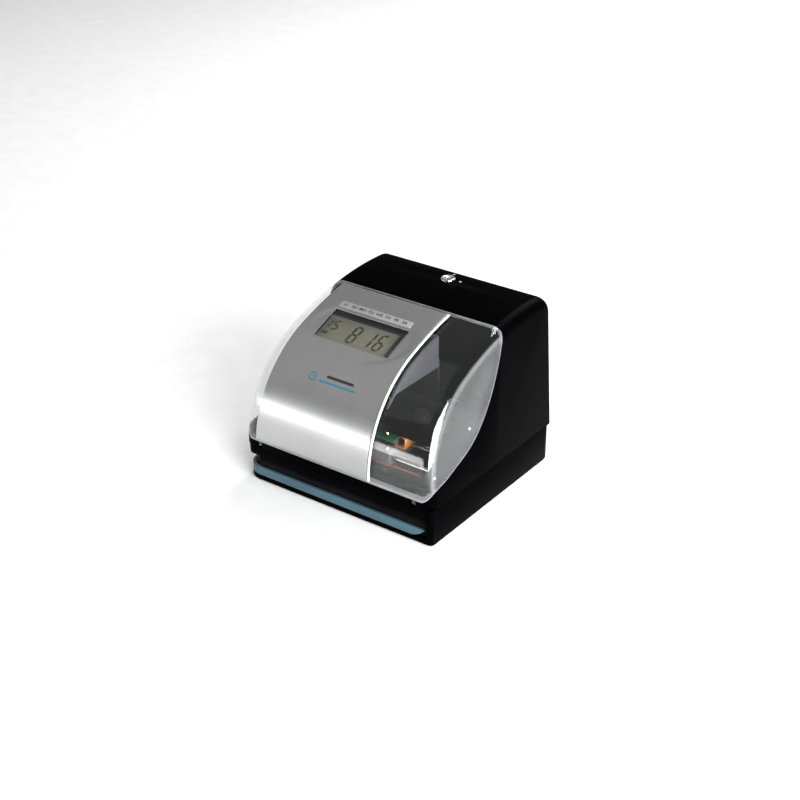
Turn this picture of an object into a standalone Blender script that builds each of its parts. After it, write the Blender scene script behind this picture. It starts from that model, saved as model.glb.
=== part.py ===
"""Desktop punch time clock, modelled as a bench assembly.

Lengths are written in millimetres and turned into metres when a mesh is made.
+X is the clock's right side, +Y its back, +Z up, and Z = 0 is the table top.
The housing is one outline seen from the side, swept across the width: it stands
on a front wall, curves back over the top in two arcs and comes down at the rear.
"""

import math

import bmesh
import bpy
from mathutils import Matrix, Vector

MM = 0.001
GAP = 0.35                     # space left between neighbouring pieces

# Overall body
HALF_WIDTH = 82.5
SEAM_Z = 28.5                  # where the upper housing meets the base
DRAFT = 0.0947                 # side wall leans in, millimetres per millimetre of height
EDGE_ROUND = 9.0               # rounding between the roof and the side walls
REAR_EDGE_ROUND = 5.0          # depth of the rounding between the rear and the side walls
REAR_BLEND = (70.0, 78.0)      # where one rounding turns into the other, along Y
WALL = 2.4

# Side outline of the upper housing
LIP_BOTTOM_Z = 20.8
FRONT_Y = -78.5
FRONT_HEADING = 96.5           # degrees from +Y, leaning slightly forward
LIP_RISE = 8.0
FRONT_ARC_RADIUS = 78.0
FRONT_ARC_LENGTH = 100.0
ROOF_ARC_RADIUS = 229.4
ROOF_ARC_LENGTH = 104.6
REAR_CORNER_RADIUS = 12.0
REAR_HEADING = -92.6
FRONT_ARC_STEPS = 16
ROOF_ARC_STEPS = 9
REAR_CORNER_STEPS = 5
EDGE_STEPS = 4

# Hood
HOOD_BOTTOM_Z = 33.3
HOOD_TOP_Y = 19.0
HINGE_Y = -77.6
HINGE_Z = 30.6
LUG_X = 66.0
LUG_WIDTH = 3.0
PIN_RADIUS = 1.0

# Face panel, measured along the outline from the start of the front arc
PANEL_START = 7.0
PANEL_END = 149.5
PANEL_LEFT = 70.0
PANEL_RIGHT = 29.5
WINDOW_LEFT = -48.5
WINDOW_RIGHT = 15.5
WINDOW_START = 94.6
WINDOW_END = 122.4
LABEL_START = 125.0
LABEL_END = 131.0

# Base
BASE_BOTTOM_Z = 1.0
BASE_TOP_Z = 28.15
BASE_FRONT_Y = -78.6
BASE_REAR_Y = 76.5
RIM_TOP_Z = 4.6
TRIM_TOP_Z = 11.2
TABLE_TOP_Z = 16.3
TABLE_REAR_Y = -4.0
CHEEK_X = 77.8
BASE_CORNERS = (13.0, 3.0, 10.5, 10.5)      # front left, front right, rear right, rear left

# Printing mechanism
PLATE_LEFT_X = -66.0
PLATE_RIGHT_X = 70.0
PLATE_THICK = 1.6
SHAFT_RADIUS = 2.5
SHAFT_Z = 44.0
FRONT_SHAFT_Y = -56.0
REAR_SHAFT_Y = -34.0
HEAD_X = 20.0
HEAD_Y = -45.0
BELT_Y = -20.0
BELT_Z = 56.0
PULLEY_RADIUS = 6.0
MOTOR_X = -54.0
IDLER_X = 58.0

# Display and lock
DISPLAY_S = 108.5              # along the outline, at the middle of the window
DISPLAY_X = -16.5
LOCK_S = 193.0
BUTTON_HEIGHT = 2.0
BUTTON_LEVEL = -7.2            # middle of a button, below the outline
BRACKET_LEFT = -62.5
BRACKET_RIGHT = 32.1
BRACKET_REAR_Y = 0.5
BRACKET_BOTTOM_Z = 90.0
BRACKET_DEPTH = 4.8            # below the outline, so that it clears the hood
BRACKET_WALL = 1.6

FINISHES = {
    "black_plastic": ((0.012, 0.012, 0.014), 0.22, 0.0, 1.0),
    "charcoal_plastic": ((0.02, 0.02, 0.022), 0.5, 0.0, 1.0),
    "blue_plastic": ((0.06, 0.16, 0.22), 0.35, 0.0, 1.0),
    "clear_plastic": ((0.8, 0.83, 0.85), 0.05, 0.0, 0.2),
    "silver_paint": ((0.5, 0.51, 0.5), 0.3, 0.6, 1.0),
    "label_print": ((0.6, 0.6, 0.6), 0.5, 0.0, 1.0),
    "rubber": ((0.02, 0.02, 0.02), 0.8, 0.0, 1.0),
    "steel": ((0.62, 0.62, 0.63), 0.25, 1.0, 1.0),
    "brass": ((0.7, 0.52, 0.25), 0.3, 1.0, 1.0),
    "board": ((0.02, 0.16, 0.07), 0.5, 0.0, 1.0),
    "lcd": ((0.2, 0.2, 0.15), 0.2, 0.0, 1.0),
    "grey_plastic": ((0.12, 0.12, 0.125), 0.5, 0.0, 1.0),
    "white_plastic": ((0.75, 0.75, 0.73), 0.4, 0.0, 1.0),
    "flex": ((0.62, 0.22, 0.05), 0.4, 0.0, 1.0),
}


# ---------------------------------------------------------------- building tools

def clear_scene():
    for item in list(bpy.data.objects):
        bpy.data.objects.remove(item, do_unlink=True)


def make_material(name, finish):
    colour, roughness, metallic, alpha = FINISHES[finish]
    material = bpy.data.materials.new(name + "_" + finish)
    material.use_nodes = True
    shader = material.node_tree.nodes["Principled BSDF"]
    shader.inputs["Base Color"].default_value = (*colour, 1.0)
    shader.inputs["Roughness"].default_value = roughness
    shader.inputs["Metallic"].default_value = metallic
    shader.inputs["Alpha"].default_value = alpha
    return material


def make_object(name, mesh_data, finish=None, origin=(0, 0, 0)):
    """Turn a bmesh in millimetres into an object whose origin is at the given point."""
    bmesh.ops.translate(mesh_data, verts=mesh_data.verts, vec=-Vector(origin))
    bmesh.ops.scale(mesh_data, verts=mesh_data.verts, vec=(MM, MM, MM))
    bmesh.ops.recalc_face_normals(mesh_data, faces=mesh_data.faces)
    mesh = bpy.data.meshes.new(name)
    mesh_data.to_mesh(mesh)
    mesh_data.free()
    item = bpy.data.objects.new(name, mesh)
    item.location = Vector(origin) * MM
    bpy.context.scene.collection.objects.link(item)
    if finish:
        mesh.materials.append(make_material(name, finish))
    else:
        item.hide_render = True
        item.display_type = "WIRE"
    return item


def box_mesh(low, high):
    mesh_data = bmesh.new()
    size = [high[i] - low[i] for i in range(3)]
    middle = [(high[i] + low[i]) / 2 for i in range(3)]
    bmesh.ops.create_cube(mesh_data, size=1.0)
    bmesh.ops.scale(mesh_data, verts=mesh_data.verts, vec=size)
    bmesh.ops.translate(mesh_data, verts=mesh_data.verts, vec=middle)
    return mesh_data


def box(name, low, high, finish=None, origin=(0, 0, 0), bevel=0.0):
    mesh_data = box_mesh(low, high)
    if bevel:
        bmesh.ops.bevel(mesh_data, geom=mesh_data.edges[:], offset=bevel, segments=1,
                        affect="EDGES", profile=0.5)
    return make_object(name, mesh_data, finish, origin)


def prism(name, outline, start, end, finish=None, axis="X", origin=(0, 0, 0)):
    """Extrude an outline along an axis. Outline points are the other two axes, in order."""
    mesh_data = bmesh.new()
    place = {
        "X": lambda a, b, t: (t, a, b),
        "Y": lambda a, b, t: (a, t, b),
        "Z": lambda a, b, t: (a, b, t),
    }[axis]
    rings = []
    for level in (start, end):
        rings.append([mesh_data.verts.new(place(a, b, level)) for a, b in outline])
    count = len(outline)
    for i in range(count):
        j = (i + 1) % count
        mesh_data.faces.new((rings[0][i], rings[0][j], rings[1][j], rings[1][i]))
    mesh_data.faces.new(rings[0])
    mesh_data.faces.new(rings[1])
    return make_object(name, mesh_data, finish, origin)


def loft(name, levels, finish=None):
    """Join outlines with the same number of points, each given with its height."""
    mesh_data = bmesh.new()
    rings = [[mesh_data.verts.new((x, y, z)) for x, y in outline] for z, outline in levels]
    for lower, upper in zip(rings, rings[1:]):
        for k in range(len(lower)):
            j = (k + 1) % len(lower)
            mesh_data.faces.new((lower[k], lower[j], upper[j], upper[k]))
    mesh_data.faces.new(rings[0])
    mesh_data.faces.new(rings[-1])
    return make_object(name, mesh_data, finish)


def rod(name, centre, radius, length, finish=None, axis="Z", sides=16, origin=None):
    """A cylinder whose centre is its middle, and also its origin unless one is given."""
    mesh_data = bmesh.new()
    bmesh.ops.create_cone(mesh_data, cap_ends=True, segments=sides, radius1=radius,
                          radius2=radius, depth=length)
    turn = {"X": Matrix.Rotation(math.pi / 2, 3, "Y"), "Y": Matrix.Rotation(math.pi / 2, 3, "X"),
            "Z": Matrix.Identity(3)}[axis]
    bmesh.ops.transform(mesh_data, matrix=turn.to_4x4(), verts=mesh_data.verts)
    bmesh.ops.translate(mesh_data, verts=mesh_data.verts, vec=centre)
    item = make_object(name, mesh_data, finish, centre if origin is None else origin)
    smooth(item)
    return item


def turned(name, profile, base, finish, sides=16):
    """A solid of revolution about a vertical axis. Profile points are (radius, height)."""
    mesh_data = bmesh.new()
    rings = []
    for radius, height in profile:
        if radius == 0:
            rings.append([mesh_data.verts.new((base[0], base[1], base[2] + height))])
            continue
        ring = []
        for k in range(sides):
            angle = 2 * math.pi * k / sides
            ring.append(mesh_data.verts.new((base[0] + radius * math.cos(angle),
                                             base[1] + radius * math.sin(angle),
                                             base[2] + height)))
        rings.append(ring)
    for lower, upper in zip(rings, rings[1:]):
        for k in range(sides):
            j = (k + 1) % sides
            if len(lower) == 1:
                mesh_data.faces.new((lower[0], upper[k], upper[j]))
            elif len(upper) == 1:
                mesh_data.faces.new((lower[k], lower[j], upper[0]))
            else:
                mesh_data.faces.new((lower[k], lower[j], upper[j], upper[k]))
    item = make_object(name, mesh_data, finish, base)
    smooth(item)
    return item


def smooth(item, angle=35):
    item.data.shade_smooth()
    item.data.set_sharp_from_angle(angle=math.radians(angle))


def boolean(item, other, operation="DIFFERENCE"):
    modifier = item.modifiers.new(operation.lower() + "_" + other.name, "BOOLEAN")
    modifier.operation = operation
    modifier.object = other
    modifier.solver = "EXACT"
    return item


def cut_boxes(item, *corners):
    for index, (low, high) in enumerate(corners):
        boolean(item, box("{}_cut_{}".format(item.name, index), low, high))
    return item


def arc(centre, radius, start, end, steps):
    """Points on an arc, with angles in degrees."""
    points = []
    for k in range(steps + 1):
        angle = math.radians(start + (end - start) * k / steps)
        points.append((centre[0] + radius * math.cos(angle), centre[1] + radius * math.sin(angle)))
    return points


def rounded_rectangle(low, high, radii, steps=5):
    """Corners in the order front left, front right, rear right, rear left."""
    corners = [(low[0], low[1], 1, 1, 180), (high[0], low[1], -1, 1, 270),
               (high[0], high[1], -1, -1, 0), (low[0], high[1], 1, -1, 90)]
    points = []
    for (x, y, side_x, side_y, start), radius in zip(corners, radii):
        centre = (x + side_x * radius, y + side_y * radius)
        points += arc(centre, radius, start, start + 90, steps)
    return points


# ---------------------------------------------------------------- the side outline

def outline_stations():
    """Side outline as (y, z, heading in degrees), from the lip up, over and down the rear."""
    y, z, heading = FRONT_Y, LIP_BOTTOM_Z, FRONT_HEADING
    stations = [(y, z, heading)]
    rise = LIP_RISE / math.sin(math.radians(heading))
    y += rise * math.cos(math.radians(heading))
    z += LIP_RISE
    stations.append((y, z, heading))
    turns = [(FRONT_ARC_RADIUS, FRONT_ARC_LENGTH, FRONT_ARC_STEPS),
             (ROOF_ARC_RADIUS, ROOF_ARC_LENGTH, ROOF_ARC_STEPS)]
    swept = sum(math.degrees(length / radius) for radius, length, _ in turns)
    corner = math.radians(FRONT_HEADING - swept - REAR_HEADING)
    turns.append((REAR_CORNER_RADIUS, REAR_CORNER_RADIUS * corner, REAR_CORNER_STEPS))
    for radius, length, steps in turns:
        for _ in range(steps):
            y, z, heading = advance(y, z, heading, radius, length / steps)
            stations.append((y, z, heading))
    drop = z - LIP_BOTTOM_Z
    stations.append((y - drop / math.tan(math.radians(heading)), LIP_BOTTOM_Z, heading))
    return stations


def advance(y, z, heading, radius, length):
    """Follow an arc that turns clockwise."""
    turn = length / radius
    angle = math.radians(heading)
    centre_y = y + radius * math.sin(angle)
    centre_z = z - radius * math.cos(angle)
    angle -= turn
    return (centre_y - radius * math.sin(angle), centre_z + radius * math.cos(angle),
            math.degrees(angle))


def skin_point(distance, inset=0.0):
    """Point and heading on the outline, measured from the start of the front arc."""
    y, z, heading = outline_stations()[1]
    first = min(distance, FRONT_ARC_LENGTH)
    y, z, heading = advance(y, z, heading, FRONT_ARC_RADIUS, first)
    if distance > FRONT_ARC_LENGTH:
        y, z, heading = advance(y, z, heading, ROOF_ARC_RADIUS, distance - FRONT_ARC_LENGTH)
    angle = math.radians(heading)
    return y + inset * math.sin(angle), z - inset * math.cos(angle), heading


def drafted(x, z):
    """Side walls lean in above the seam."""
    return x * (1 - (z - SEAM_Z) * DRAFT / HALF_WIDTH)


def edge_rounding(y):
    start, end = REAR_BLEND
    blend = min(max((y - start) / (end - start), 0.0), 1.0)
    return EDGE_ROUND + (REAR_EDGE_ROUND - EDGE_ROUND) * blend


def envelope_rows(inset):
    """The outline repeated across the width, pulled in near the sides to round the edges."""
    stations = outline_stations()
    rows = []
    for side in (-1, 1):
        steps = range(EDGE_STEPS + 1)
        for k in reversed(steps) if side < 0 else steps:
            angle = math.pi / 2 * k / EDGE_STEPS
            x = side * (HALF_WIDTH - EDGE_ROUND + (EDGE_ROUND - inset) * math.sin(angle))
            row = []
            for index, (y, z, heading) in enumerate(stations):
                turn = math.radians(heading)
                pull = inset + (edge_rounding(y) - inset) * (1 - math.cos(angle))
                point_y = y + pull * math.sin(turn)
                point_z = z - pull * math.cos(turn)
                if index in (0, len(stations) - 1):
                    point_z = LIP_BOTTOM_Z
                row.append((drafted(x, point_z), point_y, point_z))
            rows.append(row)
    return rows


def skin_shell(name, wall, finish):
    """Thin-walled envelope, open underneath."""
    mesh_data = bmesh.new()
    grids = []
    for inset in (0.0, wall):
        grid = [[mesh_data.verts.new(point) for point in row] for row in envelope_rows(inset)]
        for left, right in zip(grid, grid[1:]):
            for k in range(len(left) - 1):
                mesh_data.faces.new((left[k], left[k + 1], right[k + 1], right[k]))
        mesh_data.faces.new(grid[0])
        mesh_data.faces.new(grid[-1])
        grids.append(grid)
    outer, inner = grids
    rim_outer = [row[0] for row in outer] + [row[-1] for row in reversed(outer)]
    rim_inner = [row[0] for row in inner] + [row[-1] for row in reversed(inner)]
    count = len(rim_outer)
    for k in range(count):
        j = (k + 1) % count
        mesh_data.faces.new((rim_outer[k], rim_outer[j], rim_inner[j], rim_inner[k]))
    return make_object(name, mesh_data, finish)


def hood_outline(grow=0.0):
    """Region of the side view that belongs to the hood; grow widens it into the housing."""
    edge = [(-80.0, HOOD_BOTTOM_Z), (-77.0, 37.5), (-72.5, 41.3), (-60.0, 44.2), (-46.8, 48.6),
            (-33.7, 53.4), (-22.8, 59.4), (-11.5, 69.3), (-2.4, 80.2), (6.0, 93.4),
            (12.0, 105.8), (16.0, 116.0), (18.2, 121.0), (HOOD_TOP_Y, 140.0)]
    points = [(-95.0, HOOD_BOTTOM_Z - grow)]
    for index, (y, z) in enumerate(edge):
        before = edge[max(index - 1, 0)]
        after = edge[min(index + 1, len(edge) - 1)]
        along = Vector((after[0] - before[0], after[1] - before[1])).normalized()
        points.append((y + grow * along.y, z - grow * along.x))
    points.append((-95.0, 140.0))
    return points


def skin_plate(name, start, end, x_lines, holes, lift, thick, finish, steps):
    """Sheet that follows the outline at a height above it. x_lines are functions of z."""
    mesh_data = bmesh.new()
    places = [start + (end - start) * k / steps for k in range(steps + 1)]
    for hole in holes:
        for edge in hole[:2]:
            nearest = min(places[1:-1], key=lambda place: abs(place - edge))
            places[places.index(nearest)] = edge
    places.sort()
    rows = []
    for place in places:
        y, z, _ = skin_point(place, -lift)
        rows.append([mesh_data.verts.new((line(z), y, z)) for line in x_lines])
    for k, (lower, upper) in enumerate(zip(rows, rows[1:])):
        middle = (places[k] + places[k + 1]) / 2
        for column in range(len(x_lines) - 1):
            if any(a < middle < b and column == hole_column for a, b, hole_column in holes):
                continue
            mesh_data.faces.new((lower[column], lower[column + 1], upper[column + 1],
                                 upper[column]))
    item = make_object(name, mesh_data, finish)
    if item.data.polygons[0].normal.y > 0:
        item.data.flip_normals()
    solid = item.modifiers.new("thickness", "SOLIDIFY")
    solid.thickness = thick * MM
    solid.offset = 1.0
    solid.use_even_offset = True
    smooth(item)
    return item


def tilt_to_skin(item, distance, x, offset=(0, 0, 0)):
    """Stand a piece modelled flat on the origin on the outline: its +Z points outwards."""
    y, z, heading = skin_point(distance)
    item.matrix_world = (Matrix.Translation(Vector((x, y, z)) * MM)
                         @ Matrix.Rotation(math.radians(heading), 4, "X")
                         @ Matrix.Translation(Vector(offset) * MM))
    return item


# ---------------------------------------------------------------- base

def base_plan(inset):
    low = (-HALF_WIDTH + inset, BASE_FRONT_Y + inset)
    high = (HALF_WIDTH - inset, BASE_REAR_Y - inset)
    return rounded_rectangle(low, high, [max(radius - inset, 0.6) for radius in BASE_CORNERS])


def build_base():
    pan = prism("base_pan", base_plan(0), BASE_BOTTOM_Z, BASE_TOP_Z, "black_plastic", "Z")
    boolean(pan, prism("pan_hollow", base_plan(2.5), 3.4, 40, None, "Z"))
    cut_boxes(pan,
              ((-90, -90, RIM_TOP_Z), (CHEEK_X, -61.5, 40)),
              ((-57, 70, 8.6), (-33, 90, 23.4)))
    for index, (x, y) in enumerate(foot_places()):
        boolean(pan, rod("foot_pocket_{}".format(index), (x, y, 0.6), 7.3, 2.4))
    for index, (x, y) in enumerate(screw_places()):
        boolean(pan, rod("screw_hole_{}".format(index), (x, y, 2), 2.0, 8, sides=12))
        boolean(pan, rod("screw_head_pocket_{}".format(index), (x, y, 1.3), 3.6, 2.0, sides=12))
    trim = prism("blue_trim_strip", base_plan(0), RIM_TOP_Z + GAP, TRIM_TOP_Z, "blue_plastic", "Z")
    boolean(trim, prism("trim_hollow", base_plan(2.2), 0, 40, None, "Z"))
    cut_boxes(trim, ((-90, -61.9, 0), (90, 90, 40)))
    sweep_radius = 18.0
    swoosh = [(62, 0), (90, 0), (90, 40), (77.4, 40)]
    swoosh += arc((62, RIM_TOP_Z + sweep_radius), sweep_radius, -31, -90, 6)
    boolean(trim, prism("trim_swoosh", swoosh, -90, -60, None, "Y"))
    levels = [(RIM_TOP_Z + GAP, 2.9), (TRIM_TOP_Z + 0.4, 2.9), (14.2, 3.9), (15.6, 5.3),
              (TABLE_TOP_Z, 7.4)]
    table = loft("paper_table", [(z, base_plan(inset)) for z, inset in levels],
                 "charcoal_plastic")
    boolean(table, prism("table_hollow", base_plan(5.2), 0, 13.8, None, "Z"))
    cut_boxes(table, ((-90, TABLE_REAR_Y, 0), (90, 90, 40)),
              ((CHEEK_X - GAP, -90, 0), (90, 90, 40)))
    boolean(table, box("post_notch_left", (-90, -6.6, 0), (-69.8, 10, 40)))
    boolean(table, box("post_notch_right", (69.8, -6.6, 0), (90, 10, 40)))
    boolean(table, box("platen_slot", (-60, -49, 10), (66, -41, 20)))
    box("platen", (-59.6, -48.6, 12.6), (65.6, -41.4, 16.1), "rubber", bevel=0.5)
    for index, (x, y) in enumerate(foot_places()):
        turned("rubber_foot_{}".format(index + 1),
               [(0, 0), (6.0, 0), (6.8, 0.8), (6.8, 1.5), (0, 1.5)], (x, y, 0), "rubber")
    for index, (x, y) in enumerate(screw_places()):
        turned("base_screw_{}".format(index + 1),
               [(0, 1.1), (3.2, 1.1), (3.2, 2.0), (1.4, 2.0), (1.4, 15.0), (0, 15.0)],
               (x, y, 0), "steel", 12)


def foot_places():
    return [(x, y) for y in (-64, 62) for x in (-66, 66)]


def screw_places():
    return [(x, y) for y in (-2, 40) for x in (-74.5, 74.5)]


# ---------------------------------------------------------------- housing and hood

def build_housing():
    housing = skin_shell("upper_housing", WALL, "black_plastic")
    boolean(housing, prism("hood_opening", hood_outline(GAP), -95, 95))
    cuts = [((-95, -70, 10), (95, 95, SEAM_Z)),
            ((CHEEK_X - 0.3, -95, 10), (95, 0, SEAM_Z)),
            ((-95, -95, 10), (-CHEEK_X, 0, SEAM_Z))]
    lug_middle = LUG_X + LUG_WIDTH / 2
    for middle in (-lug_middle, lug_middle):
        cuts.append(((middle - 2.0, -95, SEAM_Z), (middle + 2.0, -70, 50)))
    cut_boxes(housing, *cuts)
    for name, middle in (("left", -lug_middle), ("right", lug_middle)):
        boolean(housing, rod("pin_pocket_" + name, (middle, HINGE_Y, HINGE_Z),
                             PIN_RADIUS + 0.25, 12, axis="X", sides=12))
    for index, (x, y) in enumerate(screw_places()):
        inner = math.copysign(71.0, x)
        outer = math.copysign(79.7, x)
        rib = box("rib_{}".format(index), (min(inner, outer), y - 2, 32),
                  (max(inner, outer), y + 2, 50))
        boolean(housing, rib, "UNION")
        boolean(housing, rod("post_{}".format(index), (x, y, 25.0), 4.0, 42, sides=12), "UNION")
        boolean(housing, rod("post_bore_{}".format(index), (x, y, 10.0), 1.8, 16, sides=12))
    boolean(housing, tilt_to_skin(rod("lock_hole", (0, 0, 0), 5.1, 12), LOCK_S, 0))
    smooth(housing)
    box("throat_guide", (-62, -74, 21.0), (66, -62, 23.2), "charcoal_plastic", bevel=0.6)


def build_hood():
    hood = skin_shell("clear_hood", 2.2, "clear_plastic")
    boolean(hood, prism("hood_region", hood_outline(), -95, 95), "INTERSECT")
    for side, low in (("left", -LUG_X - LUG_WIDTH), ("right", LUG_X)):
        lug = box("lug_" + side, (low, -78.8, 29.4), (low + LUG_WIDTH, -76.0, 38))
        boolean(hood, lug, "UNION")
        middle = (low + LUG_WIDTH / 2, HINGE_Y, HINGE_Z)
        boolean(hood, rod("lug_hole_" + side, middle, PIN_RADIUS + 0.1, 6, axis="X", sides=12))
        rod("hood_pin_" + side, middle, PIN_RADIUS, 11, "steel", "X", 12)
    smooth(hood)
    catch = box("hood_catch", (-6, 10, 109.5), (6, 12, 120.0), "steel")
    cut_boxes(catch, ((-4, 5, 110.4), (4, 15, 113.8)))

    lines = [lambda z: drafted(-PANEL_LEFT, z), lambda z: WINDOW_LEFT, lambda z: WINDOW_RIGHT,
             lambda z: PANEL_RIGHT]
    skin_plate("silver_panel", PANEL_START, PANEL_END, lines, [(WINDOW_START, WINDOW_END, 1)],
               0.3, 0.8, "silver_paint", 22)
    skin_plate("weekday_label", LABEL_START, LABEL_END,
               [lambda z: WINDOW_LEFT, lambda z: WINDOW_RIGHT - 1.5], [], 1.4, 0.3,
               "label_print", 2)


def build_lock():
    barrel = turned("lock_barrel",
                    [(3.9, -18), (4.75, -18), (4.75, GAP), (5.6, GAP), (5.6, 1.0), (5.0, 1.8),
                     (3.9, 1.8)], (0, 0, 0), "steel", 20)
    nut = turned("lock_nut", [(5.9, -5.6), (8.6, -5.6), (8.6, -3.0), (5.9, -3.0)], (0, 0, 0),
                 "steel", 6)
    plug = turned("lock_plug", [(0, -19.5), (3.6, -19.5), (3.6, 1.4), (0, 1.4)], (0, 0, 0),
                  "steel", 20)
    keyway = box("keyway", (-0.6, -2.4, -2.0), (0.6, 2.4, 3.0))
    cam_outline = arc((0, 0), 4.2, 60, 300, 10) + [(10, -3), (10, 3)]
    cam = prism("lock_cam", cam_outline, -21.4, -19.9, "steel", "Z")
    close_ring(barrel)
    close_ring(nut)
    for part in (barrel, nut, plug, keyway, cam):
        tilt_to_skin(part, LOCK_S, 0)
    boolean(plug, keyway)
    box("latch_bar", (-3.4, 16.5, 111.0), (3.4, 51.5, 113.0), "steel", bevel=0.3)
    guide = box("latch_guide", (-7, 26, 109.5), (7, 34, 123.0), "steel")
    cut_boxes(guide, ((-3.8, 0, 110.6), (3.8, 60, 113.4)), ((-3.8, 0, 116), (3.8, 60, 130)))


def close_ring(item):
    """Join the last ring of a turned tube to its first one."""
    mesh_data = bmesh.new()
    mesh_data.from_mesh(item.data)
    edges = [edge for edge in mesh_data.edges if edge.is_boundary]
    bmesh.ops.bridge_loops(mesh_data, edges=edges)
    bmesh.ops.recalc_face_normals(mesh_data, faces=mesh_data.faces)
    mesh_data.to_mesh(item.data)
    mesh_data.free()
    smooth(item)


# ---------------------------------------------------------------- display

def build_display():
    left, right, rear, floor = BRACKET_LEFT, BRACKET_RIGHT, BRACKET_REAR_Y, BRACKET_BOTTOM_Z
    wall = BRACKET_WALL
    under_skin = [skin_point(60 + 6.5 * k, BRACKET_DEPTH)[:2] for k in range(10)]
    side = [point for point in under_skin if point[0] < rear - 2]
    side += [(rear, skin_point(128, BRACKET_DEPTH)[1]), (rear, floor), (-50.0, floor)]
    bracket = prism("display_bracket", side, left, right, "grey_plastic", "X")
    hollow = [(-120, floor + wall), (rear - wall, floor + wall), (rear - wall, 160), (-120, 160)]
    boolean(bracket, prism("bracket_hollow", hollow, left + wall, right - wall))
    cut_boxes(bracket, ((left + wall, -80, 80), (right - wall, -24, 93)))
    box("bracket_post", (left, rear + GAP, 52.0), (right, rear + 1.8, 96.0), "steel")
    lcd_frame = box("lcd_frame", (-38.6, -20.4, -8.7), (38.6, 20.4, -5.0), "charcoal_plastic")
    lcd_opening = box("lcd_opening", (-36.4, -18.4, -12), (36.4, 18.4, 0))
    module = box("lcd_module", (-36, -18, -8.6), (36, 18, -5.7), "lcd", bevel=0.4)
    board = box("display_board", (-43, -30, -10.6), (43, 20, -9.1), "board")
    boolean(lcd_frame, lcd_opening)
    for piece in (lcd_frame, lcd_opening, module, board):
        tilt_to_skin(piece, DISPLAY_S, DISPLAY_X)
    for index, x in enumerate((-23.5, 0.0, 23.5)):
        button = rod("set_button_{}".format(index + 1), (0, 0, 0), 3.0, BUTTON_HEIGHT,
                     "grey_plastic", sides=14)
        tilt_to_skin(button, DISPLAY_S, DISPLAY_X + x, (0, -25, BUTTON_LEVEL))


# ---------------------------------------------------------------- mechanism

def build_frame():
    side = [(-64, 16.8), (-10, 16.8), (-10, 66), (-58, 66), (-64, 52)]
    prism("mech_plate_left", side, PLATE_LEFT_X, PLATE_LEFT_X + PLATE_THICK, "steel")
    prism("mech_plate_right", side, PLATE_RIGHT_X - PLATE_THICK, PLATE_RIGHT_X, "steel")
    low = PLATE_LEFT_X + PLATE_THICK + GAP
    high = PLATE_RIGHT_X - PLATE_THICK - GAP
    box("cross_brace", (low, -4.6, 50.0), (high, -3.0, 66.0), "steel")
    middle = (low + high) / 2
    for name, y in (("guide_shaft_front", FRONT_SHAFT_Y), ("guide_shaft_rear", REAR_SHAFT_Y)):
        rod(name, (middle, y, SHAFT_Z), SHAFT_RADIUS, high - low, "steel", "X", 16)
    box("motor_bracket", (low, -32, 51.4), (-40, -8, 52.8), "steel")
    rod("stepper_motor", (MOTOR_X, BELT_Y, 43.0), 10.0, 16.0, "steel", sides=24)
    box("idler_bracket", (48, -27.2, 51.4), (high, -8, 52.8), "steel")
    stop = box("stop_bar", (-62, -8.0, 16.7), (66, -6.2, 26.0), "steel")
    cut_boxes(stop, ((-24, -20, 10), (-16, 0, 22)))


def build_drive():
    for name, x in (("motor_pulley", MOTOR_X), ("idler_pulley", IDLER_X)):
        turned(name, [(0, -2.9), (7.4, -2.9), (7.4, -2.4), (PULLEY_RADIUS, -2.4),
                      (PULLEY_RADIUS, 2.4), (7.4, 2.4), (7.4, 2.9), (0, 2.9)],
               (x, BELT_Y, BELT_Z), "brass", 20)
    inner = belt_outline(PULLEY_RADIUS + 0.35)
    outer = belt_outline(PULLEY_RADIUS + 1.25)
    belt = prism("drive_belt", outer, BELT_Z - 2.0, BELT_Z + 2.0, "rubber", "Z")
    boolean(belt, prism("belt_inside", inner, BELT_Z - 5, BELT_Z + 5, None, "Z"))


def belt_outline(radius):
    right = arc((IDLER_X, BELT_Y), radius, -90, 90, 10)
    left = arc((MOTOR_X, BELT_Y), radius, 90, 270, 10)
    return right + left


def build_carriage():
    carriage = box("print_carriage", (HEAD_X - 14, -61, 38.5), (HEAD_X + 14, -29.0, 50.0),
                   "grey_plastic", (HEAD_X, HEAD_Y, SHAFT_Z), 0.8)
    for index, y in enumerate((FRONT_SHAFT_Y, REAR_SHAFT_Y)):
        boolean(carriage, rod("shaft_bore_{}".format(index), (HEAD_X, y, SHAFT_Z),
                              SHAFT_RADIUS + 0.08, 60, axis="X", sides=16))
    boolean(carriage, box("belt_clamp", (HEAD_X - 5, -30.6, 47.0), (HEAD_X + 5, -27.6, 58.5)),
            "UNION")
    boolean(carriage, rod("head_bore", (HEAD_X, HEAD_Y, SHAFT_Z), 7.6, 40, sides=20))
    turned("print_head", [(0, -22.6), (2.2, -22.6), (3.2, -18.0), (7.2, -15.0), (7.2, 7.0),
                          (9.0, 7.0), (9.0, 8.2), (7.6, 8.2), (7.6, 9.6), (9.0, 9.6),
                          (9.0, 10.8), (7.6, 10.8), (7.6, 12.2), (9.0, 12.2), (9.0, 13.4),
                          (0, 13.4)], (HEAD_X, HEAD_Y, SHAFT_Z), "charcoal_plastic", 20)
    box("head_board", (HEAD_X - 12, -60, 57.8), (HEAD_X + 16, -31, 59.2), "board",
        (HEAD_X, HEAD_Y, SHAFT_Z))
    flex_path = [(16.4, 58.8), (21.0, 58.8), (21.0, 50.4), (8.0, 50.4), (8.0, 50.8),
                 (20.6, 50.8), (20.6, 58.4), (16.4, 58.4)]
    prism("head_flex", [(HEAD_X + a, b) for a, b in flex_path], -52, -38, "flex", "Y",
          (HEAD_X, HEAD_Y, SHAFT_Z))


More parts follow.
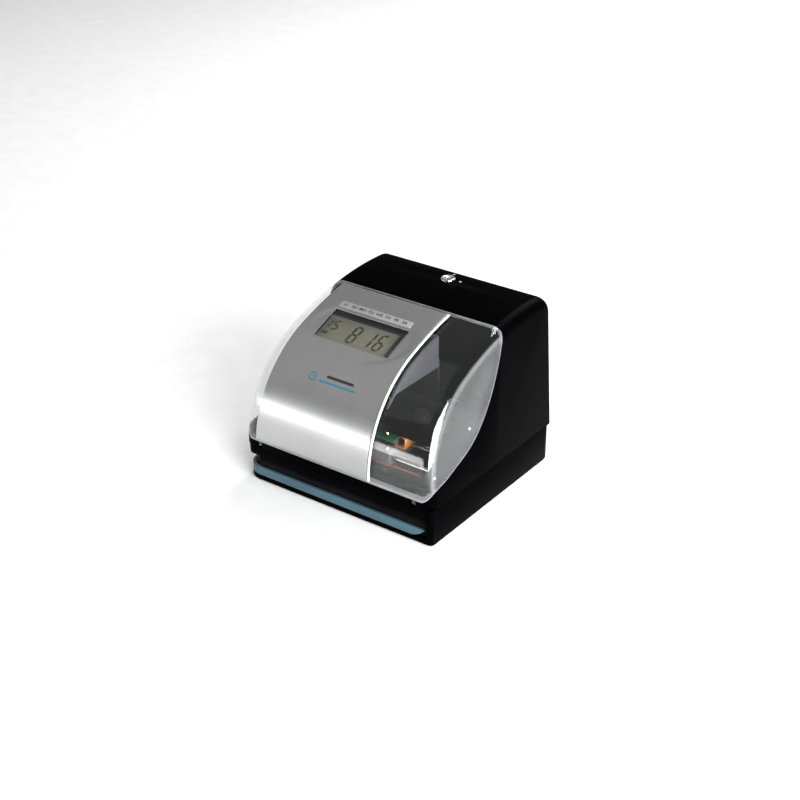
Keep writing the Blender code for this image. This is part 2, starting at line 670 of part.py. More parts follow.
def build_ribbon():
    plan = rounded_rectangle((-34, -62), (66, -34), (8, 8, 8, 8), 4)
    cassette = prism("ribbon_cassette", plan, 66.4, 76.0, "charcoal_plastic", "Z")
    boolean(cassette, box("cassette_notch", (4, -70, 60), (36, -52, 90)))
    turned("ribbon_knob", [(0, 0), (6.5, 0), (6.5, 1.0), (5.4, 1.4), (5.4, 5.0), (4.8, 5.6),
                           (0, 5.6)], (52, -48, 76.4), "charcoal_plastic", 18)
    box("ribbon_shield", (-62, -71.5, 32), (68, -70.3, 55), "clear_plastic")


def build_sensor():
    pivot = (-20, -12, 36.0)
    outline = [(-13.2, 38), (-10.8, 38), (-10.8, 24), (-11.4, 17.4), (-12.6, 17.4),
               (-13.2, 24)]
    lever = prism("trigger_lever", outline, -22, -18, "white_plastic", "X", pivot)
    boolean(lever, rod("lever_bore", pivot, 0.9, 20, axis="X", sides=10))
    rod("trigger_pin", pivot, 0.75, 12, "steel", "X", 10)
    box("microswitch", (-26, -5.8, 27), (-14, 4, 37), "charcoal_plastic", bevel=0.5)


def build_electronics():
    box("main_board", (-66, 8, 24.0), (66, 67, 25.6), "board")
    core = box("transformer", (-64, 22, 26.2), (-20, 60, 58), "steel", bevel=1.0)
    cut_boxes(core, ((-66, 10, 50), (-57, 70, 70)), ((-27, 10, 50), (-18, 70, 70)))
    boolean(core, box("coil", (-56.6, 55, 32), (-27.4, 66, 52)), "UNION")
    cells = rounded_rectangle((24, 26.2), (66, 42), (4, 4, 4, 4), 4)
    prism("battery_pack", cells, 30, 62, "blue_plastic", "Y")
    inlet = box("power_inlet", (-56.6, 68.0, 9.0), (-33.4, 76.3, 23.0), "charcoal_plastic",
                bevel=0.4)
    cut_boxes(inlet, ((-52.5, 69.5, 12.0), (-37.5, 90, 20.0)))


clear_scene()
build_base()
build_housing()
build_hood()
build_lock()
build_display()
build_frame()
build_drive()
build_carriage()
build_ribbon()
build_sensor()
build_electronics()
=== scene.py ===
"""Looks for the punch time clock: surfaces, materials, light and camera around the CAD frame."""

import math

import bmesh
import bpy
from mathutils import Matrix, Vector


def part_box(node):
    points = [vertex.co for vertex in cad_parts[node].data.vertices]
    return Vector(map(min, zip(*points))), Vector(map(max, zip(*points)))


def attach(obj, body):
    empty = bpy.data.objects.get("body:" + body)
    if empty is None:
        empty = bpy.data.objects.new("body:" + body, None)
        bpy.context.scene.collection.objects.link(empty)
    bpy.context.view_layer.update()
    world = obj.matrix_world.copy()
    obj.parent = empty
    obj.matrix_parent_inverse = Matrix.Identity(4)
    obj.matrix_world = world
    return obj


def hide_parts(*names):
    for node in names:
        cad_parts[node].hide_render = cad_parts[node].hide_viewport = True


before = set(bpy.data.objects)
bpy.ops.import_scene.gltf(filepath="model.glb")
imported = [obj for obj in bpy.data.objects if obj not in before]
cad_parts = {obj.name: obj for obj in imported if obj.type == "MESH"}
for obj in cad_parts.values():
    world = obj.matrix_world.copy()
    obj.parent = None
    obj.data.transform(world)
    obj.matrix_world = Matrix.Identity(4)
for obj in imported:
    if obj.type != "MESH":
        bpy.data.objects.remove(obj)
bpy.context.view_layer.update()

MM = 0.001

# The side outline, as in the CAD model: up the front, back over the top, down the rear
HALF_WIDTH = 82.5
SEAM_Z = 28.5
DRAFT = 0.0947
EDGE_ROUND = 9.0
REAR_EDGE_ROUND = 5.0
REAR_BLEND = (70.0, 78.0)
LIP_BOTTOM_Z = 20.8
FRONT_Y = -78.5
FRONT_HEADING = 96.5
LIP_RISE = 8.0
FRONT_ARC = (78.0, 100.0, 56)        # radius, length, steps
ROOF_ARC = (229.4, 104.6, 40)
REAR_CORNER_RADIUS = 12.0
REAR_CORNER_STEPS = 14
REAR_HEADING = -92.6
EDGE_STEPS = 12

# The hood, its hinge and the face panel
HOOD_BOTTOM_Z = 33.3
HOOD_TOP_Y = 19.0
HOOD_GAP = 0.35
HOOD_WALL = 2.2
RIM_WIDTH = 0.4
HOOD_CURVE_STEPS = 4
HOOD_CORNERS = ((-80.0, HOOD_BOTTOM_Z), (-77.0, 37.5), (-72.5, 41.3), (-60.0, 44.2),
                (-46.8, 48.6), (-33.7, 53.4), (-22.8, 59.4), (-11.5, 69.3), (-2.4, 80.2),
                (6.0, 93.4), (12.0, 105.8), (16.0, 116.0), (18.2, 121.0))
LUG_X = 66.0
LUG_WIDTH = 3.0
LUG_Y = (-78.8, -76.0)
LUG_Z = (29.4, 38.0)
PANEL_START, PANEL_END = 7.0, 149.5  # distances along the outline
PANEL_LEFT, PANEL_RIGHT = 70.0, 29.5
PANEL_LIFT = 1.05                    # outer face of the panel above the outline
PANEL_WALL = 0.35
PANEL_COLUMNS = (20, 44, 8)          # grid steps left of, across and right of the window
PANEL_ROWS = (54, 24, 18)            # grid steps below, across and above the window
WINDOW = (-48.5, 15.5, 94.6, 122.4)  # left, right, start and end along the outline
LABEL = (-48.5, 14.0, 125.0, 131.0)
DISH_CENTRE = (-15.0, 108.0)
DISH_REACH = (44.0, 27.0)
DISH_DEPTH = 0.55
DISH_SLOPE = 0.13                    # share of the reach that the slope takes up
BEAD_WIDTH, BEAD_HEIGHT, BEAD_LIFT = 1.7, 0.9, 0.55
BEAD_OFFSET = 1.15                   # from the panel's edge to the middle of the bead

# The housing
HOUSING_WALL = 2.4
BEYOND = 95.0                        # cutters reach past the clock on every side
ABOVE_Z = 140.0
LOCK_S = 193.0
LOCK_HOLE_RADIUS = 5.1
POST_PLACES = ((-74.5, -2), (74.5, -2), (-74.5, 40), (74.5, 40))

# Printing: a mark stands this far proud of the face below it
PRINT_DEPTH = 0.07
MARK_DEPTH = 0.06

# The display, on a plane set below the outline
DISPLAY_X, DISPLAY_S = -16.5, 108.5
GLASS_HALF = (36.0, 18.0)
GLASS_BACK, GLASS_FACE = -8.6, -5.7
# Where the painted shadow strips begin on the display glass, along its top and right
SHADOW_STRIP_TOP, SHADOW_STRIP_RIGHT = 12.2, 23.8
SEGMENT_LEVEL = -5.66
SEGMENT_DEPTH = 0.05
DIGIT_LEAN = 0.09

# Seen from the right front, from above
CAMERA_AZIMUTH, CAMERA_ELEVATION = 35.91, 28.31
CAMERA_TARGET = (0.00097, -0.0027, 0.05515)
CAMERA_DISTANCE = 1.15
LENS, SENSOR_WIDTH = 71.8, 36.0


# ---------------------------------------------------------------- materials

MOULDED_RELIEF = 0.00005
BRUSHED_RELIEF = 0.00003
CLEAR_TINT = (0.93, 0.94, 0.95, 1.0)
# Painted shading on the hood's frosted side walls: their colour is darker towards the top and
# lighter towards the bottom, where they face the pale floor
FROST_PAINTED_SHADE_TONES = ((0.004, 0.004, 0.0045), (0.021, 0.022, 0.022))     # at the top, at the bottom
FROST_PAINTED_SHADE_HEIGHTS = (0.115, 0.04)
SIDE_FACING = (0.8, 0.985)           # frost sets in as a face points this squarely sideways
GRAZING_MIRROR = 0.9


def principled(name):
    """New material with its node tree and its shader."""
    material = bpy.data.materials.new(name)
    material.use_nodes = True
    return material, material.node_tree, material.node_tree.nodes["Principled BSDF"]


def noise(tree, scale, detail, roughness=0.5, stretch=(1, 1, 1)):
    """Noise fixed to the piece, as a value from 0 to 1."""
    coordinates = tree.nodes.new("ShaderNodeTexCoord")
    mapping = tree.nodes.new("ShaderNodeMapping")
    mapping.inputs["Scale"].default_value = stretch
    texture = tree.nodes.new("ShaderNodeTexNoise")
    texture.inputs["Scale"].default_value = scale
    texture.inputs["Detail"].default_value = detail
    texture.inputs["Roughness"].default_value = roughness
    tree.links.new(coordinates.outputs["Object"], mapping.inputs["Vector"])
    tree.links.new(mapping.outputs["Vector"], texture.inputs["Vector"])
    return texture.outputs["Fac"]


def ramp(tree, factor, low, high, start=0.3, end=0.7):
    """Colour that runs from low to high as the factor goes from start to end."""
    node = tree.nodes.new("ShaderNodeValToRGB")
    node.color_ramp.elements[0].position = start
    node.color_ramp.elements[0].color = (*low, 1.0)
    node.color_ramp.elements[1].position = end
    node.color_ramp.elements[1].color = (*high, 1.0)
    tree.links.new(factor, node.inputs["Fac"])
    return node.outputs["Color"]


def vary(tree, factor, low, high):
    """Value that runs from low to high as the factor goes from 0 to 1."""
    node = tree.nodes.new("ShaderNodeMapRange")
    node.inputs["To Min"].default_value = low
    node.inputs["To Max"].default_value = high
    tree.links.new(factor, node.inputs["Value"])
    return node.outputs["Result"]


def add_bump(tree, shader, height, strength, distance):
    """Shade the surface as if it rose and fell with the height value."""
    bump = tree.nodes.new("ShaderNodeBump")
    bump.inputs["Strength"].default_value = strength
    bump.inputs["Distance"].default_value = distance
    tree.links.new(height, bump.inputs["Height"])
    tree.links.new(bump.outputs["Normal"], shader.inputs["Normal"])


def moulded(name, low, high, rough, grain=1400.0, bump=0.15, specular=0.5, metallic=0.0,
            index=1.45):
    """Moulded or painted surface: two close tones, uneven gloss and a fine grain."""
    material, tree, shader = principled(name)
    broad = noise(tree, 45.0, 4.0)
    fine = noise(tree, grain, 2.0)
    tree.links.new(ramp(tree, broad, low, high), shader.inputs["Base Color"])
    tree.links.new(vary(tree, broad, rough[0], rough[1]), shader.inputs["Roughness"])
    shader.inputs["Specular IOR Level"].default_value = specular
    shader.inputs["Metallic"].default_value = metallic
    shader.inputs["IOR"].default_value = index
    add_bump(tree, shader, fine, bump, MOULDED_RELIEF)
    return material


def brushed(name, low, high, rough, stretch):
    """Metal with fine lines along one axis."""
    material, tree, shader = principled(name)
    lines = noise(tree, 900.0, 3.0, 0.6, stretch)
    tree.links.new(ramp(tree, lines, low, high), shader.inputs["Base Color"])
    tree.links.new(vary(tree, lines, rough[0], rough[1]), shader.inputs["Roughness"])
    shader.inputs["Metallic"].default_value = 1.0
    add_bump(tree, shader, lines, 0.2, BRUSHED_RELIEF)
    return material


def scalar(tree, operation, first, second):
    """Math node; an input is either a socket or a number."""
    node = tree.nodes.new("ShaderNodeMath")
    node.operation = operation
    for socket, value in zip(node.inputs, (first, second)):
        if isinstance(value, (int, float)):
            socket.default_value = value
        else:
            tree.links.new(value, socket)
    return node.outputs["Value"]


def remap(tree, value, limits):
    """Value that runs from 0 to 1 between two limits."""
    node = tree.nodes.new("ShaderNodeMapRange")
    node.inputs["From Min"].default_value, node.inputs["From Max"].default_value = limits
    tree.links.new(value, node.inputs["Value"])
    return node.outputs["Result"]


def split(tree, vector):
    node = tree.nodes.new("ShaderNodeSeparateXYZ")
    tree.links.new(vector, node.inputs["Vector"])
    return node.outputs


def mix_colour(tree, factor, first, second):
    """Blend of a fixed colour and a colour socket."""
    node = tree.nodes.new("ShaderNodeMix")
    node.data_type = "RGBA"
    tree.links.new(factor, node.inputs["Factor"])
    colours = {socket.name: socket for socket in node.inputs if socket.type == "RGBA"}
    colours["A"].default_value = first
    tree.links.new(second, colours["B"])
    return [socket for socket in node.outputs if socket.type == "RGBA"][0]


def clear(name, reflectance, rough, frost=0.0):
    """Clear plastic: a mirror that grows towards a grazing view; outer side walls are frosted,
    with painted shading that darkens them towards the top.
    """
    material, tree, shader = principled(name)
    weight = tree.nodes.new("ShaderNodeLayerWeight")
    weight.inputs["Blend"].default_value = 0.5
    grazing = scalar(tree, "POWER", weight.outputs["Facing"], 5.0)
    mirror = vary(tree, grazing, reflectance, GRAZING_MIRROR)

    geometry = tree.nodes.new("ShaderNodeNewGeometry")
    normal = split(tree, geometry.outputs["Normal"])
    point = split(tree, geometry.outputs["Position"])
    outwards = scalar(tree, "MULTIPLY", normal["X"], scalar(tree, "SIGN", point["X"], 0.0))
    haze = noise(tree, 35.0, 4.0)
    frosted = scalar(tree, "MULTIPLY", remap(tree, outwards, SIDE_FACING),
                     vary(tree, haze, 0.85, 1.0))
    coverage = scalar(tree, "MAXIMUM", mirror, scalar(tree, "MULTIPLY", frosted, frost))
    tree.links.new(coverage, shader.inputs["Alpha"])

    # Painted shading: the frost's colour runs from dark at the top to lighter at the bottom
    coordinates = tree.nodes.new("ShaderNodeTexCoord")
    height = split(tree, coordinates.outputs["Object"])["Z"]
    tones = ramp(tree, remap(tree, height, FROST_PAINTED_SHADE_HEIGHTS), *FROST_PAINTED_SHADE_TONES, 0.0, 1.0)
    tree.links.new(mix_colour(tree, frosted, CLEAR_TINT, tones), shader.inputs["Base Color"])
    tree.links.new(scalar(tree, "SUBTRACT", 1.0, frosted), shader.inputs["Metallic"])
    roughness = scalar(tree, "ADD", vary(tree, haze, *rough),
                       scalar(tree, "MULTIPLY", frosted, 0.25))
    tree.links.new(roughness, shader.inputs["Roughness"])
    return material


def make_materials():
    """Every material, by a short name. Pairs are low and high tones, or low and high roughness."""
    return {
        "black": moulded("gloss_black", (0.0003, 0.0003, 0.0004), (0.0006, 0.0006, 0.0008),
                         (0.28, 0.36), grain=1800.0, bump=0.06, index=1.04),
        "charcoal": moulded("charcoal", (0.002, 0.002, 0.003), (0.004, 0.004, 0.005),
                            (0.42, 0.52), grain=1500.0, bump=0.2, index=1.12),
        "blue": moulded("trim_blue", (0.036, 0.078, 0.1), (0.046, 0.096, 0.122), (0.34, 0.44),
                        grain=1500.0, specular=0.3),
        "silver": moulded("silver_paint", (0.4, 0.405, 0.4), (0.43, 0.435, 0.43), (0.25, 0.28),
                          grain=2600.0, bump=0.1, metallic=0.9),
        "label": moulded("label_film", (0.2, 0.2, 0.2), (0.23, 0.23, 0.23), (0.4, 0.5),
                         grain=1600.0, bump=0.05, specular=0.4),
        "ink": moulded("print_ink", (0.012, 0.012, 0.014), (0.02, 0.02, 0.024), (0.45, 0.55),
                       grain=1500.0, bump=0.05, specular=0.3),
        "teal_ink": moulded("teal_ink", (0.01, 0.11, 0.17), (0.015, 0.13, 0.2), (0.4, 0.5),
                            grain=1500.0, bump=0.05, specular=0.3),
        "white_ink": moulded("white_ink", (0.6, 0.6, 0.6), (0.72, 0.72, 0.72), (0.4, 0.5),
                             grain=1500.0, bump=0.05, specular=0.3),
        # Painted highlight: the panel's edge bead is near white so that it shows as a bright line
        "rim": moulded("edge_painted_highlight", (0.7, 0.72, 0.73), (0.85, 0.87, 0.88), (0.12, 0.2),
                       grain=900.0, bump=0.03, specular=0.7),
        # Painted highlight: an opaque grey band along the clear hood's cut edge stands in for the
        # light that the edge catches
        "hood_edge_highlight": moulded("hood_edge_highlight", (0.2, 0.205, 0.21), (0.27, 0.275, 0.28), (0.2, 0.3),
                             grain=900.0, bump=0.03),
        "hood": clear("hood_clear", reflectance=0.045, rough=(0.05, 0.07), frost=0.5),
        "guard": clear("guard_clear", reflectance=0.012, rough=(0.2, 0.3)),
        "rubber": moulded("rubber", (0.012, 0.012, 0.012), (0.022, 0.022, 0.022), (0.7, 0.85),
                          grain=700.0, bump=0.5, specular=0.3),
        "steel": brushed("steel", (0.5, 0.5, 0.51), (0.66, 0.66, 0.67), (0.2, 0.32), (1, 8, 8)),
        "chrome": brushed("chrome", (0.66, 0.64, 0.6), (0.8, 0.78, 0.74), (0.08, 0.16),
                          (1, 1, 1)),
        "dark_steel": brushed("dark_steel", (0.05, 0.05, 0.055), (0.09, 0.09, 0.1),
                              (0.3, 0.42), (1, 6, 6)),
        "black_steel": brushed("black_steel", (0.012, 0.012, 0.013), (0.022, 0.022, 0.024),
                               (0.35, 0.45), (1, 6, 6)),
        "brass": brushed("brass", (0.55, 0.4, 0.16), (0.68, 0.5, 0.24), (0.2, 0.3), (1, 1, 6)),
        "board": moulded("solder_mask", (0.008, 0.06, 0.025), (0.014, 0.09, 0.04), (0.3, 0.4),
                         grain=500.0, bump=0.3),
        "chip": moulded("chip_epoxy", (0.012, 0.012, 0.012), (0.02, 0.02, 0.02), (0.45, 0.55),
                        grain=1600.0, bump=0.3, specular=0.4),
        "tin": brushed("tinned_lead", (0.55, 0.55, 0.56), (0.7, 0.7, 0.7), (0.25, 0.35),
                       (1, 1, 1)),
        "amber": moulded("amber_film", (0.5, 0.17, 0.03), (0.62, 0.24, 0.05), (0.25, 0.35),
                         grain=600.0),
        "red": moulded("red_line", (0.09, 0.015, 0.01), (0.13, 0.022, 0.014), (0.4, 0.5)),
        "grey": moulded("grey_plastic", (0.07, 0.07, 0.075), (0.1, 0.1, 0.105), (0.42, 0.52),
                        grain=1500.0, bump=0.25, specular=0.4),
        "smoke": moulded("smoke_grey", (0.05, 0.051, 0.058), (0.07, 0.071, 0.08), (0.3, 0.4)),
        "white": moulded("white_plastic", (0.62, 0.62, 0.6), (0.7, 0.7, 0.68), (0.35, 0.45)),
        "lcd": moulded("lcd_ground", (0.14, 0.138, 0.1), (0.155, 0.152, 0.112), (0.2, 0.26),
                       grain=2500.0, bump=0.03),
        "segment": moulded("lcd_segment", (0.008, 0.009, 0.006), (0.013, 0.014, 0.01),
                           (0.3, 0.4), grain=2500.0, bump=0.02, specular=0.4),
        "battery": moulded("battery_sleeve", (0.02, 0.07, 0.2), (0.03, 0.1, 0.26), (0.2, 0.3)),
        "floor": moulded("floor", (0.8, 0.8, 0.8), (0.84, 0.84, 0.84), (0.6, 0.7),
                         grain=300.0, bump=0.05, specular=0.2),
    }


# ---------------------------------------------------------------- mesh tools

# Edges that turn by more than this many degrees stay sharp
FRESH_SMOOTH, CAD_SMOOTH, SETTLED_SMOOTH = 35, 30, 40
SOFTEN_ANGLE = 38                    # edges that turn by more than this get a small round
ROUND_PROFILE = 0.7


def as_object(name, mesh_data, material=None):
    """Turn a bmesh in millimetres into an object in metres."""
    bmesh.ops.scale(mesh_data, verts=mesh_data.verts, vec=(MM, MM, MM))
    bmesh.ops.recalc_face_normals(mesh_data, faces=mesh_data.faces)
    mesh = bpy.data.meshes.new(name)
    mesh_data.to_mesh(mesh)
    mesh_data.free()
    item = bpy.data.objects.new(name, mesh)
    bpy.context.scene.collection.objects.link(item)
    if material:
        mesh.materials.append(material)
    mesh.shade_smooth()
    mesh.set_sharp_from_angle(angle=math.radians(FRESH_SMOOTH))
    return item


def settle(item):
    """Apply every modifier, drop the cutters that they used, and keep the result as the mesh."""
    bpy.context.view_layer.update()
    depsgraph = bpy.context.evaluated_depsgraph_get()
    mesh = bpy.data.meshes.new_from_object(item.evaluated_get(depsgraph))
    cutters = [m.object for m in item.modifiers if m.type == "BOOLEAN"]
    item.modifiers.clear()
    item.data = mesh
    for cutter in cutters:
        bpy.data.objects.remove(cutter)


def boolean(item, other, operation="DIFFERENCE"):
    """Cut, join or intersect with another object, which settle removes later."""
    modifier = item.modifiers.new(operation.lower(), "BOOLEAN")
    modifier.operation = operation
    modifier.object = other
    modifier.solver = "EXACT"


def soften(item, width, angle=SOFTEN_ANGLE):
    """Small rounds on the sharp edges."""
    modifier = item.modifiers.new("soften", "BEVEL")
    modifier.width = width * MM
    modifier.segments = 2
    modifier.limit_method = "ANGLE"
    modifier.angle_limit = math.radians(angle)
    modifier.use_clamp_overlap = True
    modifier.harden_normals = False


def resmooth(item, angle=SETTLED_SMOOTH):
    item.data.shade_smooth()
    item.data.set_sharp_from_angle(angle=math.radians(angle))


def box(name, low, high, material=None, bevel=0.0, segments=2):
    """Block between two corners, with rounded edges where bevel is given."""
    mesh_data = bmesh.new()
    bmesh.ops.create_cube(mesh_data, size=1.0)
    bmesh.ops.scale(mesh_data, verts=mesh_data.verts, vec=[high[i] - low[i] for i in range(3)])
    bmesh.ops.translate(mesh_data, verts=mesh_data.verts,
                        vec=[(high[i] + low[i]) / 2 for i in range(3)])
    if bevel:
        bmesh.ops.bevel(mesh_data, geom=mesh_data.edges[:], offset=bevel, segments=segments,
                        affect="EDGES", profile=ROUND_PROFILE)
    return as_object(name, mesh_data, material)


def prism(name, outline, start, end, material=None, axis="X", bevel=0.0):
    """Extrude an outline along an axis. Outline points are the other two axes, in order."""
    mesh_data = bmesh.new()
    place = {
        "X": lambda a, b, t: (t, a, b),
        "Z": lambda a, b, t: (a, b, t),
    }[axis]
    rings = []
    for level in (start, end):
        rings.append([mesh_data.verts.new(place(a, b, level)) for a, b in outline])
    for i in range(len(outline)):
        j = (i + 1) % len(outline)
        mesh_data.faces.new((rings[0][i], rings[0][j], rings[1][j], rings[1][i]))
    caps = [mesh_data.faces.new(rings[0]), mesh_data.faces.new(rings[1])]
    if bevel:
        edges = {edge for cap in caps for edge in cap.edges}
        bmesh.ops.bevel(mesh_data, geom=list(edges), offset=bevel, segments=2, affect="EDGES",
                        profile=ROUND_PROFILE)
    return as_object(name, mesh_data, material)


def turned(name, profile, base, material, sides=48, closed=False):
    """Solid of revolution about a vertical axis. Profile points are (radius, height).

    A closed profile leaves a hole in the middle, as in a ring or a tube.
    """
    mesh_data = bmesh.new()
    rings = []
    for radius, height in profile:
        count = 1 if radius == 0 else sides
        rings.append([mesh_data.verts.new((base[0] + radius * math.cos(2 * math.pi * k / sides),
                                           base[1] + radius * math.sin(2 * math.pi * k / sides),
                                           base[2] + height)) for k in range(count)])
    pairs = list(zip(rings, rings[1:]))
    if closed:
        pairs.append((rings[-1], rings[0]))
    for lower, upper in pairs:
        for k in range(sides):
            j = (k + 1) % sides
            corners = [lower[k % len(lower)], lower[j % len(lower)], upper[j % len(upper)],
                       upper[k % len(upper)]]
            mesh_data.faces.new(list(dict.fromkeys(corners)))
    return as_object(name, mesh_data, material)


def arc(centre, radius, start, end, steps):
    """Points on an arc, angles in degrees."""
    points = []
    for k in range(steps + 1):
        angle = math.radians(start + (end - start) * k / steps)
        points.append((centre[0] + radius * math.cos(angle), centre[1] + radius * math.sin(angle)))
    return points


def rounded(low, high, radius, steps):
    """Outline of a rectangle with rounded corners."""
    points = arc((low[0] + radius, low[1] + radius), radius, 180, 270, steps)
    points += arc((high[0] - radius, low[1] + radius), radius, 270, 360, steps)
    points += arc((high[0] - radius, high[1] - radius), radius, 0, 90, steps)
    points += arc((low[0] + radius, high[1] - radius), radius, 90, 180, steps)
    return points


# ---------------------------------------------------------------- the side outline

def advance(y, z, heading, radius, length):
    """Follow an arc that turns clockwise."""
    angle = math.radians(heading)
    centre_y = y + radius * math.sin(angle)
    centre_z = z - radius * math.cos(angle)
    angle -= length / radius
    return (centre_y - radius * math.sin(angle), centre_z + radius * math.cos(angle),
            math.degrees(angle))


def arc_start():
    """Where the straight lip ends and the front arc begins."""
    rise = LIP_RISE / math.sin(math.radians(FRONT_HEADING))
    return (FRONT_Y + rise * math.cos(math.radians(FRONT_HEADING)), LIP_BOTTOM_Z + LIP_RISE,
            FRONT_HEADING)


def outline_stations():
    """Side outline as (y, z, heading in degrees), from the lip up, over and down the rear."""
    stations = [(FRONT_Y, LIP_BOTTOM_Z, FRONT_HEADING)]
    y, z, heading = arc_start()
    stations.append((y, z, heading))
    swept = sum(math.degrees(length / radius) for radius, length, _ in (FRONT_ARC, ROOF_ARC))
    corner = math.radians(FRONT_HEADING - swept - REAR_HEADING)
    last = (REAR_CORNER_RADIUS, REAR_CORNER_RADIUS * corner, REAR_CORNER_STEPS)
    for radius, length, steps in (FRONT_ARC, ROOF_ARC, last):
        for _ in range(steps):
            y, z, heading = advance(y, z, heading, radius, length / steps)
            stations.append((y, z, heading))
    drop = z - LIP_BOTTOM_Z
    stations.append((y - drop / math.tan(math.radians(heading)), LIP_BOTTOM_Z, heading))
    return stations


def skin_point(distance, inset=0.0):
    """Point and heading on the outline, measured from the start of the front arc."""
    y, z, heading = arc_start()
    y, z, heading = advance(y, z, heading, FRONT_ARC[0], min(distance, FRONT_ARC[1]))
    if distance > FRONT_ARC[1]:
        y, z, heading = advance(y, z, heading, ROOF_ARC[0], distance - FRONT_ARC[1])
    angle = math.radians(heading)
    return y + inset * math.sin(angle), z - inset * math.cos(angle), heading


def drafted(x, z):
    """Side walls lean in above the seam."""
    return x * (1 - (z - SEAM_Z) * DRAFT / HALF_WIDTH)


def edge_rounding(y):
    """Round between top and side; it shrinks towards the rear."""
    start, end = REAR_BLEND
    blend = min(max((y - start) / (end - start), 0.0), 1.0)
    return EDGE_ROUND + (REAR_EDGE_ROUND - EDGE_ROUND) * blend


def skin_rows(inset):
    """Rows of points over the whole skin, from the left edge to the right, set in by inset."""
    stations = outline_stations()
    rows = []
    turns = [-k for k in range(EDGE_STEPS, -1, -1)] + list(range(EDGE_STEPS + 1))
    for count, k in enumerate(turns):
        side = -1 if count <= EDGE_STEPS else 1
        angle = math.pi / 2 * abs(k) / EDGE_STEPS
        x = side * (HALF_WIDTH - EDGE_ROUND + (EDGE_ROUND - inset) * math.sin(angle))
        row = []
        for index, (y, z, heading) in enumerate(stations):
            turn = math.radians(heading)
            pull = inset + (edge_rounding(y) - inset) * (1 - math.cos(angle))
            point_z = z - pull * math.cos(turn)
            if index in (0, len(stations) - 1):
                point_z = LIP_BOTTOM_Z
            row.append((drafted(x, point_z), y + pull * math.sin(turn), point_z))
        rows.append(row)
    return rows


def skin_shell(name, wall, material):
    """Closed shell over the whole outline, open underneath."""
    mesh_data = bmesh.new()
    grids = []
    for inset in (0.0, wall):
        grid = [[mesh_data.verts.new(point) for point in row] for row in skin_rows(inset)]
        for left, right in zip(grid, grid[1:]):
            for k in range(len(left) - 1):
                mesh_data.faces.new((left[k], left[k + 1], right[k + 1], right[k]))
        mesh_data.faces.new(grid[0])
        mesh_data.faces.new(grid[-1])
        grids.append(grid)
    rims = [[row[0] for row in grid] + [row[-1] for row in reversed(grid)] for grid in grids]
    for k in range(len(rims[0])):
        j = (k + 1) % len(rims[0])
        mesh_data.faces.new((rims[0][k], rims[0][j], rims[1][j], rims[1][k]))
    return as_object(name, mesh_data, material)


def smooth_curve(points, steps):
    """Catmull-Rom curve through the points."""
    ends = [points[0]] + list(points) + [points[-1]]
    curve = []
    for a, b, c, d in zip(ends, ends[1:], ends[2:], ends[3:]):
        for k in range(steps):
            t = k / steps
            curve.append(tuple(0.5 * (2 * q + (r - p) * t + (2 * p - 5 * q + 4 * r - s) * t * t
                                      + (3 * q - p - 3 * r + s) * t ** 3)
                               for p, q, r, s in zip(a, b, c, d)))
    curve.append(tuple(points[-1]))
    return curve


def hood_outline(grow=0.0):
    """Region of the side view that belongs to the hood; grow widens it into the housing."""
    edge = smooth_curve(HOOD_CORNERS, HOOD_CURVE_STEPS) + [(HOOD_TOP_Y, ABOVE_Z)]
    points = [(-BEYOND, HOOD_BOTTOM_Z - grow)]
    for index, (y, z) in enumerate(edge):
        before = edge[max(index - 1, 0)]
        after = edge[min(index + 1, len(edge) - 1)]
        along = Vector((after[0] - before[0], after[1] - before[1])).normalized()
        points.append((y + grow * along.y, z - grow * along.x))
    points.append((-BEYOND, ABOVE_Z))
    return points


def on_skin(distance, x, lift=0.0):
    """Matrix of a plane touching the outline: +Z points outwards, +Y up the outline."""
    y, z, heading = skin_point(distance)
    return (Matrix.Translation(Vector((x, y, z)) * MM)
            @ Matrix.Rotation(math.radians(heading), 4, "X")
            @ Matrix.Translation((0, 0, lift * MM)))


def place(item, matrix):
    """Bake a placement into the mesh, so that the object stays at the origin."""
    item.data.transform(matrix)
    item.data.update()
    return item


# ---------------------------------------------------------------- outer pieces

def ride_all(pieces, body):
    for piece in pieces:
        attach(piece, body)


def screw_post(index, x, y, m):
    """Tube for a base screw, with a rib that ties it to the side wall."""
    post = turned("screw_post_{}".format(index), [(1.8, 4), (4.0, 4), (4.0, 46), (1.8, 46)],
                  (x, y, 0), m["black"], 24, True)
    inner, outer = sorted((math.copysign(75, x), math.copysign(79.6, x)))
    if x > 0:
        inner += 3.3
    else:
        outer -= 3.3
    rib = box("post_rib_{}".format(index), (inner, y - 1.2, 32), (outer, y + 1.2, 46),
              m["black"], 0.3)
    return [post, rib]


def build_housing(m):
    """Black upper housing, cut to make room for the hood, its lugs, the base and the lock."""
    housing = skin_shell("housing_shell", HOUSING_WALL, m["black"])
    boolean(housing, prism("cut_hood", hood_outline(HOOD_GAP), -BEYOND, BEYOND))
    floor_cuts = (((-BEYOND, -70, 10), (BEYOND, BEYOND, SEAM_Z)),
                  ((77.5, -BEYOND, 10), (BEYOND, 0, SEAM_Z)),
                  ((-BEYOND, -BEYOND, 10), (-77.8, 0, SEAM_Z)))
    for low, high in floor_cuts:
        boolean(housing, box("cut_below", low, high))
    for side in (-1, 1):
        middle = side * (LUG_X + LUG_WIDTH / 2)
        boolean(housing, box("cut_lug", (middle - 2.0, -BEYOND, SEAM_Z), (middle + 2.0, -70, 50)))
    hole = turned("cut_lock", [(0, -8), (LOCK_HOLE_RADIUS, -8), (LOCK_HOLE_RADIUS, 6), (0, 6)],
                  (0, 0, 0), None)
    boolean(housing, place(hole, on_skin(LOCK_S, 0)))
    settle(housing)
    soften(housing, 0.45)
    settle(housing)
    resmooth(housing)
    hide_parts("upper_housing")
    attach(housing, "base")
    posts = []
    for index, (x, y) in enumerate(POST_PLACES):
        posts += screw_post(index + 1, x, y, m)
    ride_all(posts, "base")


